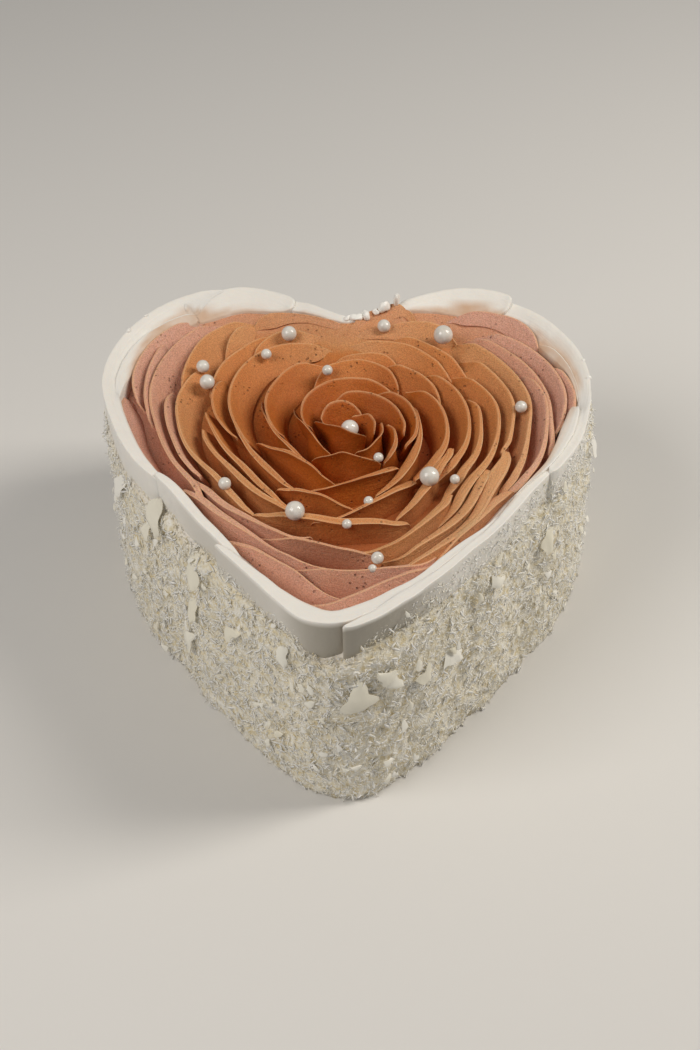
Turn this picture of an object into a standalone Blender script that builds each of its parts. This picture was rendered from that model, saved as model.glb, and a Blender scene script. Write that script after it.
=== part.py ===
"""Heart-shaped anniversary cake, in metres, +Z up, its tip towards -Y.

A tall heart cake has shavings and flakes pressed all over its side, a white buttercream border
piped round its rim, and a rose of overlapping buttercream petals with sugar pearls on top.
The origin is on the flat base, on the heart's axis, below the rose.
"""
import math
import random

import bpy
import bmesh
from mathutils import Vector

MM = 0.001
GAP = 0.3 * MM
CUT_GAP = 0.5 * MM
SLIVER = 0.02 * MM
FLAT_ANGLE = math.radians(2.5)

# The heart, seen from above: the rim's radius every 15 degrees from the tip round to the notch.
HEART_RADII = (117, 106, 94, 90, 89, 97, 106, 117, 121, 119, 108, 86, 73)
HEART_STEP = 15.0
TIP_ANGLE = -90.0

# The cake's body.
SHOULDER_HEIGHT = 102.0 * MM
RIM_HEIGHT = 120.0 * MM
SIDE_COLUMNS = 88
SIDE_ROWS = 13
SHAVINGS_AT_BASE = 7.0 * MM
SHAVINGS_AT_TOP = 3.5 * MM
SHAVINGS_ROUGHNESS = 2.2 * MM

# Flakes on the side.
LOOSE_FLAKES = 42
FLAKE_LENGTH = (7.0 * MM, 12.0 * MM)
FLAKE_THICKNESS = 1.2 * MM
# The largest flakes: angle round the cake, height, length and turn (degrees, mm, mm, degrees).
LARGE_FLAKES = (
    (-88, 79, 17, 20),
    (-64, 67, 12, -35),
    (-152, 98, 15, 75),
    (-135, 92, 15, 60),
    (-126, 90, 16, 40),
    (-135, 68, 15, -20),
    (-134, 49, 14, 70),
    (-71, 88, 10, 10),
    (-100, 60, 11, 50),
    (-20, 84, 10, 30),
    (35, 70, 14, 15),
    (80, 55, 13, -40),
    (118, 78, 14, 65),
    (160, 60, 13, 25),
)

# The white border: first and last angle, and how far inside the rim its middle line lies at the
# start, the middle and the end (degrees, mm).
BORDER_PETALS = (
    (268, 345, 3.4, 3.6, 7),
    (337, 367, 3.2, 3.4, 8),
    (355, 395, 8, 4, 5),
    (7, 50, 7, 3.6, 3.6),
    (46, 77, 7, 3.6, 5),
    (73, 94, 3.6, 4, 6),
    (88, 112, 6, 4, 7),
    (105, 134, 3.4, 3.6, 8),
    (124, 206, 3.6, 4, 5),
    (201, 238, 7, 4, 3.4),
    (232, 273, 7, 4, 3.4),
    (148, 198, 9.5, 10, 8.5),
    (8, 34, 9, 10, 8),
    (300, 334, 8.5, 8.5, 7),
)
BORDER_THICKNESS = 6.4 * MM
BORDER_INSET = 9.0 * MM
BORDER_LEDGE = 8.0 * MM

# The rose, with its middle a little left of the heart's axis.
ROSE_CENTRE = (-2.0 * MM, 0.0)
ROSE_EDGE_HEIGHT = 117.0 * MM
BUD_RISE = 6.0 * MM
BUD_WIDTH = 25.0 * MM
BED_THICKNESS = 2.2 * MM
LEAN_AT_FRONT = 2.0
LEAN_AT_SIDES = 34.0
PETAL_EDGE_THICKNESS = (1.0 * MM, 1.7 * MM)
PETAL_ROOT_THICKNESS = 3.2 * MM
END_LENGTH = 4.0 * MM
END_TUCK = 1.0 * MM
SPAN_ANGLE = 20.0

# Rings are counted in hundredths of the way out to the rim. Inner rings are round, with 100
# standing for 100 mm, and outer ones follow the heart.
ROUND_RING = 35.0
HEART_RING = 80.0

# Each petal: first and last angle, and its edge's ring at the start, the middle and the end.
CENTRE_PETALS = (
    (162, 322, 15, 5, 14),
    (-24, 65, 16, 13, 9),
    (38, 174, 12, 13, 10),
    (-11, 116, 29, 23, 15),
    (42, 196, 35, 26, 15),
    (-24, 64, 33, 33, 25),
    (-51, 1, 31, 27, 20),
    (-73, 7, 20, 19, 18),
    (239, 306, 27, 19, 30),
    (148, 258, 28, 16, 21),
    (152, 241, 43, 30, 29),
    (195, 267, 41, 29, 38),
    (251, 314, 43, 35, 38),
    (234, 277, 50, 44, 50),
    (258, 314, 57, 49, 50),
    (179, 244, 49, 44, 46),
    (170, 247, 60, 54, 56),
    (95, 195, 63, 56, 44),
    (101, 197, 48, 40, 28),
    (45, 119, 36, 44, 31),
    (56, 99, 46, 53, 45),
    (18, 71, 46, 47, 46),
    (-44, 44, 48, 47, 39),
    (-71, 30, 46, 37, 35),
    (-38, 48, 59, 55, 49),
    (-67, -15, 62, 56, 52),
)
MIDDLE_PETALS = (
    (181, 256, 62, 60, 58),
    (235, 297, 71, 58, 67),
    (273, 320, 65, 73, 70),
    (283, 338, 74, 84, 76),
    (281, 347, 79, 89, 79),
    (295, 330, 95, 95, 96),
    (122, 165, 77, 72, 69),
    (152, 235, 66, 71, 70),
    (116, 141, 77, 72, 66),
    (114, 160, 69, 63, 60),
    (145, 190, 58, 57, 49),
    (100, 138, 80, 67, 56),
    (32, 74, 61, 62, 71),
    (34, 90, 56, 60, 76),
    (55, 86, 78, 93, 95),
    (48, 88, 70, 79, 86),
    (92, 124, 96, 90, 75),
    (-42, 21, 70, 63, 56),
    (-54, 37, 80, 69, 57),
    (-12, 42, 75, 69, 64),
    (-30, 50, 93, 76, 70),
)
OUTER_PETALS = (
    (208, 262, 81, 74, 66),
    (244, 280, 78, 67, 72),
    (256, 296, 78, 78, 91),
    (263, 294, 89, 87, 94),
    (238, 270, 90, 83, 85),
    (212, 267, 89, 80, 74),
    (174, 211, 90, 89, 90),
    (134, 177, 88, 88, 90),
    (122, 173, 82, 84, 81),
    (129, 219, 82, 80, 86),
    (162, 207, 72, 75, 78),
    (-30, 26, 96, 87, 75),
    (-10, 48, 95, 80, 74),
    (2, 46, 90, 85, 78),
    (29, 57, 86, 88, 81),
    (-1, 24, 94, 93, 85),
)
CENTRE_BED_RING = 42.0
MIDDLE_BED_RING = 64.0
OUTER_BED_RING = 89.0

# Each pearl: x, y and diameter in mm, and how far its middle rises above the petals' edges, as a
# share of its radius.
PEARLS = (
    (1, -1, 8.0, -1.55),
    (-29, 60, 7.2, 0.5),
    (44, 59, 9.1, 0.5),
    (-21, -54, 8.4, 0.4),
    (36, -34, 8.6, 0.5),
    (-65, 26, 7.0, 0.5),
    (-68, 37, 6.1, 0.5),
    (78, 11, 5.5, 0.5),
    (-52, -38, 5.6, 0.5),
    (14, -79, 5.3, 0.4),
    (16, 66, 6.3, 0.5),
    (-39, 46, 5.0, 0.4),
    (-10, 34, 4.9, 0.4),
    (14, -21, 4.4, -0.2),
    (10, -46, 4.3, -0.2),
    (1, -59, 4.2, -0.2),
    (47, -34, 4.3, 0.3),
    (12, -83, 3.7, -0.2),
)
LARGE_PEARL = 6.9
SMALL_PEARL = 5.2

# Colours as sRGB hex, with roughness.
CAKE_FINISH = ("E4DFD0", 0.75)
BORDER_FINISH = ("F3F0E8", 0.5)
CENTRE_FINISH = ("9A5A2C", 0.6)
MIDDLE_FINISH = ("C58F63", 0.6)
OUTER_FINISH = ("C68D77", 0.6)
PEARL_FINISH = ("F1EDE6", 0.25)


def remove_startup_objects():
    for thing in list(bpy.data.objects):
        bpy.data.objects.remove(thing, do_unlink=True)


def new_collection(name):
    collection = bpy.data.collections.new(name)
    bpy.context.scene.collection.children.link(collection)
    return collection


def linear(hex_colour):
    values = []
    for start in (0, 2, 4):
        value = int(hex_colour[start:start + 2], 16) / 255.0
        values.append(value / 12.92 if value <= 0.04045 else ((value + 0.055) / 1.055) ** 2.4)
    return (*values, 1.0)


def new_material(name, finish):
    material = bpy.data.materials.new(name)
    material.use_nodes = True
    shader = material.node_tree.nodes["Principled BSDF"]
    shader.inputs["Base Color"].default_value = linear(finish[0])
    shader.inputs["Roughness"].default_value = finish[1]
    shader.inputs["Metallic"].default_value = 0.0
    return material


def smooth_step(value):
    value = min(1.0, max(0.0, value))
    return value * value * (3.0 - 2.0 * value)


def heart_radius(angle):
    """The rim's radius at an angle, on a smooth curve through HEART_RADII, mirrored."""
    last = len(HEART_RADII) - 1
    around = (angle - TIP_ANGLE) % 360.0
    place = min(around, 360.0 - around) / HEART_STEP
    first = min(int(place), last - 1)
    share = place - first

    def radius(index):
        index = abs(index)
        return HEART_RADII[2 * last - index if index > last else index]

    before, start, end, after = (radius(first + step) for step in (-1, 0, 1, 2))
    bend = 2 * before - 5 * start + 4 * end - after
    twist = 3 * start - before - 3 * end + after
    value = 0.5 * (2 * start + (end - before) * share + bend * share ** 2 + twist * share ** 3)
    return value * MM


def polar(angle, radius, centre=(0.0, 0.0)):
    radians = math.radians(angle)
    return Vector((centre[0] + radius * math.cos(radians), centre[1] + radius * math.sin(radians), 0))


def outward(angle):
    """The rim's outward direction at an angle."""
    along = polar(angle + 1, heart_radius(angle + 1)) - polar(angle - 1, heart_radius(angle - 1))
    return Vector((along.y, -along.x, 0)).normalized()


def rim_point(angle, push, height):
    """A point pushed outwards from the rim's outline, at a height."""
    point = polar(angle, heart_radius(angle)) + outward(angle) * push
    point.z = height
    return point


def ring_radius(ring, angle):
    heart_share = smooth_step((ring - ROUND_RING) / (HEART_RING - ROUND_RING))
    return ring / 100.0 * ((1 - heart_share) * 100 * MM + heart_share * heart_radius(angle))


def rose_top(radius):
    return ROSE_EDGE_HEIGHT + BUD_RISE * math.exp(-radius / BUD_WIDTH)


def lean_angle(angle, radius):
    """Petals stand upright at the front and in the bud, and lean outwards elsewhere."""
    openness = smooth_step(1.0 + math.sin(math.radians(angle)))
    bud_share = 0.3 + 0.7 * min(1.0, radius / (35 * MM))
    return math.radians(LEAN_AT_FRONT + (LEAN_AT_SIDES - LEAN_AT_FRONT) * openness * bud_share)


def link_mesh(shape, name, collection):
    bmesh.ops.recalc_face_normals(shape, faces=shape.faces)
    mesh = bpy.data.meshes.new(name)
    shape.to_mesh(mesh)
    shape.free()
    thing = bpy.data.objects.new(name, mesh)
    collection.objects.link(thing)
    return thing


def loft(name, loops, collection, closed=False):
    """A solid through loops of points, capped at both ends or joined into a ring."""
    shape = bmesh.new()
    rows = [[shape.verts.new(point) for point in loop] for loop in loops]
    pairs = list(zip(rows, rows[1:]))
    if closed:
        pairs.append((rows[-1], rows[0]))
    else:
        shape.faces.new(rows[0])
        shape.faces.new(reversed(rows[-1]))
    for near, far in pairs:
        count = len(near)
        for index in range(count):
            after = (index + 1) % count
            shape.faces.new((near[index], far[index], far[after], near[after]))
    return link_mesh(shape, name, collection)


def keep_largest_part(thing):
    """Drops loose scraps, so that one closed body is left."""
    shape = bmesh.new()
    shape.from_mesh(thing.data)
    waiting = set(shape.verts)
    parts = []
    while waiting:
        part = set()
        edge_of_part = [waiting.pop()]
        while edge_of_part:
            vertex = edge_of_part.pop()
            part.add(vertex)
            for edge in vertex.link_edges:
                other = edge.other_vert(vertex)
                if other in waiting:
                    waiting.discard(other)
                    edge_of_part.append(other)
        parts.append(part)
    parts.sort(key=len)
    scraps = [vertex for part in parts[:-1] for vertex in part]
    bmesh.ops.delete(shape, geom=scraps, context="VERTS")
    shape.to_mesh(thing.data)
    shape.free()


def boolean(thing, operation, others):
    """One exact Boolean with a collection, which is then removed."""
    modifier = thing.modifiers.new("join", "BOOLEAN")
    modifier.operation = operation
    modifier.operand_type = "COLLECTION"
    modifier.collection = others
    modifier.solver = "EXACT"
    bpy.context.view_layer.update()
    evaluated = thing.evaluated_get(bpy.context.evaluated_depsgraph_get())
    mesh = bpy.data.meshes.new_from_object(evaluated)
    thing.modifiers.remove(modifier)
    thing.data = mesh
    for other in list(others.objects):
        bpy.data.objects.remove(other, do_unlink=True)
    bpy.data.collections.remove(others)


def drop_folds(shape):
    """Removes triangles that lie back to back on the same three corners."""
    shape.verts.index_update()
    by_corners = {}
    for face in shape.faces:
        corners = frozenset(vertex.index for vertex in face.verts)
        by_corners.setdefault(corners, []).append(face)
    folds = [face for faces in by_corners.values() if len(faces) > 1 for face in faces]
    bmesh.ops.delete(shape, geom=folds, context="FACES")
    loose = [edge for edge in shape.edges if not edge.link_faces]
    bmesh.ops.delete(shape, geom=loose, context="EDGES")


def tidy_faces(thing):
    """Merges slivers and faces that lie in one plane, and splits the rest into triangles."""
    shape = bmesh.new()
    shape.from_mesh(thing.data)
    bmesh.ops.dissolve_degenerate(shape, edges=shape.edges, dist=SLIVER)
    bmesh.ops.dissolve_limit(shape, angle_limit=FLAT_ANGLE, verts=shape.verts, edges=shape.edges)
    bmesh.ops.triangulate(shape, faces=shape.faces)
    drop_folds(shape)
    shape.to_mesh(thing.data)
    shape.free()


def finish(thing, material):
    tidy_faces(thing)
    keep_largest_part(thing)
    thing.data.materials.clear()
    thing.data.materials.append(material)


def side_push(height):
    """How far the shavings stand out from the rim's outline, at a height."""
    return SHAVINGS_AT_BASE + (SHAVINGS_AT_TOP - SHAVINGS_AT_BASE) * height / SHOULDER_HEIGHT


def build_body(collection, rng):
    """The cake with the bumps of its shavings, flat below and on top."""
    loops = []
    for column in range(SIDE_COLUMNS):
        angle = 360.0 * column / SIDE_COLUMNS
        bottom = rim_point(angle, side_push(0) - 1 * MM, 0)
        loop = [bottom]
        for row in range(1, SIDE_ROWS):
            height = SHOULDER_HEIGHT * (row + rng.uniform(-0.3, 0.3)) / SIDE_ROWS
            push = side_push(height) + rng.uniform(-1, 1) * SHAVINGS_ROUGHNESS
            loop.append(rim_point(angle + rng.uniform(-1.1, 1.1), push, height))
        loop.append(rim_point(angle, -0.5 * MM, SHOULDER_HEIGHT))
        loops.append(loop)
    shape = bmesh.new()
    rows = [[shape.verts.new(point) for point in loop] for loop in loops]
    for near, far in zip(rows, rows[1:] + rows[:1]):
        for index in range(SIDE_ROWS):
            corners = (near[index], far[index], far[index + 1], near[index + 1])
            shift = rng.randrange(2)
            turned = corners[shift:] + corners[:shift]
            shape.faces.new((turned[0], turned[1], turned[2]))
            shape.faces.new((turned[0], turned[2], turned[3]))
    shape.faces.new([loop[0] for loop in rows])
    shape.faces.new([loop[-1] for loop in rows])
    return link_mesh(shape, "cake", collection)


def build_flake(collection, angle, height, length, turn, tilt, rng):
    """A thin irregular flake, with one edge pressed into the side and the other standing out."""
    out = outward(angle)
    across = Vector((-out.y, out.x, 0))
    up = Vector((0, 0, 1))
    turn = math.radians(turn)
    along = across * math.cos(turn) + up * math.sin(turn)
    width_way = up * math.cos(turn) - across * math.sin(turn)
    normal = out * math.cos(tilt) + width_way * math.sin(tilt)
    width_way = width_way * math.cos(tilt) - out * math.sin(tilt)
    middle = rim_point(angle, side_push(height) - 0.6 * MM, height)
    width = length * rng.uniform(0.45, 0.7)
    corners = ((-0.5, -0.35), (0.5, -0.5), (0.42, 0.4), (-0.3, 0.5))
    loop = []
    for east, north in corners:
        east += rng.uniform(-0.08, 0.08)
        north += rng.uniform(-0.08, 0.08)
        loop.append(middle + along * (east * length) + width_way * (north * width))
    half = normal * FLAKE_THICKNESS / 2
    loft("flake", [[point - half for point in loop], [point + half for point in loop]], collection)


def build_cake(parts, material):
    rng = random.Random(4)
    cake = build_body(parts, rng)
    flakes = new_collection("flakes")
    for angle, height, length, turn in LARGE_FLAKES:
        tilt = math.radians(rng.uniform(12, 24))
        build_flake(flakes, angle, height * MM, length * MM, turn, tilt, rng)
    for index in range(LOOSE_FLAKES):
        angle = 360.0 * (index + rng.uniform(0.1, 0.9)) / LOOSE_FLAKES
        height = SHOULDER_HEIGHT * rng.uniform(0.1, 0.9)
        length = rng.uniform(*FLAKE_LENGTH)
        tilt = math.radians(rng.uniform(10, 35))
        build_flake(flakes, angle, height, length, rng.uniform(-90, 90), tilt, rng)
    boolean(cake, "UNION", flakes)
    finish(cake, material)


def through(start, middle, end, share):
    """A parabola through three values, at shares 0, 0.5 and 1."""
    first = start * (1 - share) * (1 - 2 * share)
    return first + middle * 4 * share * (1 - share) + end * share * (2 * share - 1)


def stations(start, end, radius):
    """Shares along a petal: a short span at each end and even ones between."""
    length = math.radians(end - start) * radius
    tip = min(0.2, END_LENGTH / length)
    spans = max(3, math.ceil((end - start) / SPAN_ANGLE))
    inner = [tip + (1 - 2 * tip) * index / spans for index in range(spans + 1)]
    return [0.0] + inner + [1.0]


def rose_petal_loops(petal, grow):
    start, end, *rings = petal
    middle_angle = (start + end) / 2
    root_height = SHOULDER_HEIGHT + GAP + 0.5 * BED_THICKNESS
    loops = []
    for share in stations(start, end, ring_radius(rings[1], middle_angle)):
        angle = start + (end - start) * share
        radius = ring_radius(through(*rings, share), angle)
        at_end = share in (0.0, 1.0)
        top = rose_top(radius) + grow
        root = radius - (top - root_height) * math.tan(lean_angle(angle, radius))
        edge_share = min(1.0, radius / (90 * MM))
        thin, thick = PETAL_EDGE_THICKNESS
        edge = (thin + (thick - thin) * edge_share) / 2 + grow
        base = PETAL_ROOT_THICKNESS / 2 + grow
        if at_end:
            direction = -1 if share == 0.0 else 1
            angle += direction * math.degrees(grow / radius)
            fallen = 0.45
            radius = root + (radius - root) * fallen - END_TUCK
            top = root_height + (top - root_height) * fallen
            base *= 0.6
        loop = []
        for reach, height in ((root + base, root_height), (radius + edge, top),
                              (radius - edge, top), (root - base, root_height)):
            point = polar(angle, max(reach, 0.2 * MM), ROSE_CENTRE)
            point.z = height
            loop.append(point)
        loops.append(loop)
    return loops


def bed_loops(inner_ring, outer_ring, grow):
    """A flat ring of buttercream that joins the roots of the petals."""
    low = SHOULDER_HEIGHT + GAP
    high = low + BED_THICKNESS + grow
    columns = 28
    loops = []
    for column in range(columns):
        angle = 360.0 * column / columns
        outer = ring_radius(outer_ring, angle) + grow
        inner = ring_radius(inner_ring, angle)
        loop = []
        for reach, height in ((outer, low - grow), (outer, high), (inner, high), (inner, low - grow)):
            point = polar(angle, reach, ROSE_CENTRE)
            point.z = height
            loop.append(point)
        loops.append(loop)
    return loops


def build_bed(name, inner_ring, outer_ring, grow, collection):
    if inner_ring > 0:
        return loft(name, bed_loops(inner_ring, outer_ring, grow), collection, closed=True)
    loops = bed_loops(1, outer_ring, grow)
    floor = [loop[0] for loop in loops]
    roof = [loop[1] for loop in loops]
    return loft(name, [floor, roof], collection)


def build_rose_part(name, petals, beds, collection, grow=0.0):
    """Petals joined to their bed: one solid."""
    rose = build_bed(name, beds[0], beds[1], grow, collection)
    loose = new_collection("petals")
    for petal in petals:
        loft("petal", rose_petal_loops(petal, grow), loose)
    boolean(rose, "UNION", loose)
    return rose


def pearl_place(x, y, diameter, rise):
    middle = Vector((x * MM, y * MM, 0))
    from_rose = (middle - Vector((*ROSE_CENTRE, 0))).length
    middle.z = rose_top(from_rose) + rise * diameter * MM / 2
    return middle


def build_pearl(name, pearl, collection, grow=0.0):
    x, y, diameter, rise = pearl
    shape = bmesh.new()
    segments, rings = (10, 6) if diameter > LARGE_PEARL else (8, 5) if diameter > SMALL_PEARL else (7, 4)
    radius = diameter * MM / 2 + grow
    bmesh.ops.create_uvsphere(shape, u_segments=segments, v_segments=rings, radius=radius)
    bmesh.ops.translate(shape, verts=shape.verts, vec=pearl_place(x, y, diameter, rise))
    return link_mesh(shape, name, collection)


def border_loops(petal, grow):
    """A thick soft ribbon: upright outside, rounded on top and sloping inside."""
    start, end, *insets = petal
    low = SHOULDER_HEIGHT + GAP + 2 * MM
    loops = []
    for share in stations(start, end, 100 * MM):
        angle = start + (end - start) * share
        inset = through(*insets, share) * MM
        half = BORDER_THICKNESS / 2
        top = RIM_HEIGHT - max(0.0, inset - 5 * MM) * 0.3 + grow
        if share in (0.0, 1.0):
            half *= 0.45
            top -= 5 * MM
            angle += (-1 if share == 0.0 else 1) * math.degrees(grow / (80 * MM))
        half += grow
        section = ((-inset + half * 0.9, low), (-inset + half, top - 2 * MM),
                   (-inset + half * 0.4, top), (-inset - half * 0.6, top - 0.8 * MM),
                   (-inset - half * 1.1, low))
        loops.append([rim_point(angle, push, height) for push, height in section])
    return loops


def build_border(collection, grow=0.0):
    low = SHOULDER_HEIGHT + GAP
    columns = 48
    loops = []
    for column in range(columns):
        angle = 360.0 * (column + 0.5) / columns
        section = ((-1.2 * MM, low), (-1.0 * MM, low + BORDER_LEDGE),
                   (-BORDER_INSET + 1 * MM - grow, low + BORDER_LEDGE + grow),
                   (-BORDER_INSET - grow, low))
        loops.append([rim_point(angle, push, height) for push, height in section])
    border = loft("icing_border", loops, collection, closed=True)
    loose = new_collection("border petals")
    for petal in BORDER_PETALS:
        loft("border petal", border_loops(petal, grow), loose)
    boolean(border, "UNION", loose)
    return border


def clear_of(thing, makers):
    """Cuts grown copies of its neighbours out of a piece, which leaves the gap between them."""
    cutters = new_collection("cutters")
    for maker in makers:
        cutter = maker(cutters)
        cutter.hide_render = True
        cutter.display_type = "WIRE"
    boolean(thing, "DIFFERENCE", cutters)


def grown_centre(collection):
    beds = (0, CENTRE_BED_RING)
    return build_rose_part("centre space", CENTRE_PETALS, beds, collection, CUT_GAP)


def grown_middle(collection):
    beds = (CENTRE_BED_RING, MIDDLE_BED_RING)
    return build_rose_part("middle space", MIDDLE_PETALS, beds, collection, CUT_GAP)


def grown_border(collection):
    return build_border(collection, CUT_GAP)


def grown_pearls():
    def maker(pearl):
        return lambda collection: build_pearl("pearl space", pearl, collection, CUT_GAP)
    return [maker(pearl) for pearl in PEARLS]


def build_rose(parts):
    pearl_spaces = grown_pearls()
    centre = build_rose_part("rose_centre", CENTRE_PETALS, (0, CENTRE_BED_RING), parts)
    clear_of(centre, pearl_spaces)
    finish(centre, new_material("caramel buttercream", CENTRE_FINISH))
    middle_beds = (CENTRE_BED_RING, MIDDLE_BED_RING)
    middle = build_rose_part("rose_middle", MIDDLE_PETALS, middle_beds, parts)
    clear_of(middle, [grown_centre, grown_border] + pearl_spaces)
    finish(middle, new_material("tan buttercream", MIDDLE_FINISH))
    outer_beds = (MIDDLE_BED_RING, OUTER_BED_RING)
    outer = build_rose_part("rose_outer", OUTER_PETALS, outer_beds, parts)
    clear_of(outer, [grown_centre, grown_middle, grown_border] + pearl_spaces)
    finish(outer, new_material("pink buttercream", OUTER_FINISH))


def build_pearls(parts):
    material = new_material("pearl sugar", PEARL_FINISH)
    for index, pearl in enumerate(PEARLS):
        thing = build_pearl(f"pearl_{index + 1:02d}", pearl, parts)
        thing.data.materials.append(material)
        thing.data.shade_smooth()


def main():
    remove_startup_objects()
    parts = new_collection("anniversary cake")
    build_cake(parts, new_material("shavings", CAKE_FINISH))
    border = build_border(parts)
    finish(border, new_material("white buttercream", BORDER_FINISH))
    build_rose(parts)
    build_pearls(parts)


main()
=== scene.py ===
"""Looks of the heart-shaped anniversary cake.

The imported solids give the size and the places. Each form below stands for a solid and keeps its
outline: the side's shavings, the piped white border, the buttercream rose and its sugar pearls.
Lengths are in metres, and angles go round the heart's axis from +X, with the tip at -90 degrees.
"""
import math

import bpy
import numpy as np
from mathutils import Matrix, Vector, noise


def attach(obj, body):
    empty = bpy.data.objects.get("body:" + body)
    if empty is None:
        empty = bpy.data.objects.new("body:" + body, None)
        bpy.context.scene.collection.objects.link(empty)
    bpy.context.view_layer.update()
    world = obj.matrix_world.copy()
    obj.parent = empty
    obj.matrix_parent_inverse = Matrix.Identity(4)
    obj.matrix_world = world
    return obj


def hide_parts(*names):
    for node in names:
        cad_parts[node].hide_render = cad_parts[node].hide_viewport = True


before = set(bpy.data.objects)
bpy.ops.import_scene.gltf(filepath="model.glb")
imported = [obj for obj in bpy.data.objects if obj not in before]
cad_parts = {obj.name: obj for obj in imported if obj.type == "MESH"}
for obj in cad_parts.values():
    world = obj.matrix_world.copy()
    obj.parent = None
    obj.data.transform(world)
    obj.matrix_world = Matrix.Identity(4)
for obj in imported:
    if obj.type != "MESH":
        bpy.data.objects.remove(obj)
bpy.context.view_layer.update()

MM = 0.001
rng = np.random.default_rng(11)

# The heart's rim, in mm, every 15 degrees from the tip round to the notch.
HEART_RADII = (117, 106, 94, 90, 89, 97, 106, 117, 121, 119, 108, 86, 73)
HEART_STEP = 15.0
TIP_ANGLE = -90.0
SHOULDER_HEIGHT = 102.0 * MM
RIM_HEIGHT = 120.0 * MM
# How high the shavings reach (mm), by degrees from the tip, anticlockwise from above.
SHAVING_LIMITS = (
    (-180, 103), (-70, 101), (-60, 104), (-45, 105), (-34, 108), (-20, 107), (-14, 110),
    (-11, 112), (-8, 101), (-4, 98), (3, 98), (6, 109), (10, 115), (18, 117.5), (95, 117.5),
    (110, 106), (180, 103),
)
SHAVINGS_AT_BASE = 7.0 * MM
SHAVINGS_AT_TOP = 3.5 * MM

# The rose.
ROSE_CENTRE = np.array((-2.0 * MM, 0.0, 0.0))
ROSE_EDGE_HEIGHT = 117.0 * MM
BUD_RISE = 6.0 * MM
BUD_WIDTH = 25.0 * MM
ROUND_RING = 35.0
HEART_RING = 80.0

# Each petal: first and last angle, and its edge's ring at places spread evenly along it.
# Rings are hundredths of the way out to the rim.
CENTRE_PETALS = (
    (162, 322, 15, 5, 14),
    (-24, 65, 16, 13, 9),
    (38, 174, 12, 13, 10),
    (-11, 116, 29, 23, 15),
    (42, 196, 35, 26, 15),
    (-24, 64, 33, 33, 25),
    (-51, 1, 31, 27, 20),
    (-73, 7, 20, 19, 18),
    (239, 306, 27, 19, 30),
    (148, 258, 28, 16, 21),
    (152, 241, 43, 30, 29),
    (195, 267, 41, 29, 38),
    (251, 314, 43, 35, 38),
    (234, 277, 50, 44, 50),
    (258, 314, 57, 49, 50),
    (179, 244, 49, 44, 46),
    (170, 247, 60, 54, 56),
    (95, 195, 63, 56, 44),
    (101, 197, 48, 40, 28),
    (45, 119, 36, 44, 31),
    (56, 99, 46, 53, 45),
    (18, 71, 46, 47, 46),
    (-44, 44, 48, 47, 39),
    (-71, 30, 46, 37, 35),
    (-38, 48, 59, 55, 49),
    (-67, -15, 62, 56, 52),
)
MIDDLE_PETALS = (
    (181, 252, 62, 60, 55),
    (234, 298, 71, 55, 67),
    (273, 320, 65, 73, 70),
    (283, 338, 74, 84, 76),
    (281, 349, 79, 90, 76),
    (295, 333, 93, 90.5, 95),
    (120, 166, 80, 74, 67),
    (145, 235, 65, 71, 70),
    (120, 141, 79, 72, 64),
    (114, 160, 69, 63, 60),
    (145, 190, 58, 57, 49),
    (100, 138, 80, 67, 56),
    (32, 74, 61, 62, 71),
    (34, 90, 56, 60, 76),
    (63, 92, 74, 100.5, 84),
    (48, 88, 70, 79, 86),
    (92, 124, 96, 90, 75),
    (-42, 21, 70, 63, 56),
    (-54, 37, 80, 69, 57),
    (-12, 42, 75, 69, 64),
    (-30, 50, 93, 76, 70),
)
OUTER_PETALS = (
    (205, 260, 82, 75.5, 62),
    (242, 284, 78, 68.5, 64.5, 65.5, 73),
    (254, 300, 81, 73.5, 75, 84, 90),
    (261, 298, 90, 84.5, 94.5),
    (234, 271, 91, 80.5, 82.5),
    (209, 267, 90, 83.5, 80.5, 76, 71),
    (168, 211, 91, 93, 92),
    (133, 173, 87, 89, 83),
    (143, 180, 87, 82, 82),
    (129, 219, 83, 79, 86),
    (162, 207, 72, 75, 78),
    (-30, 26, 96, 87, 75),
    (-10, 48, 95, 80, 74),
    (-2, 47, 92, 87, 77),
    (29, 58, 87, 91, 82),
    (2, 26, 96, 93, 86),
)

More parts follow.
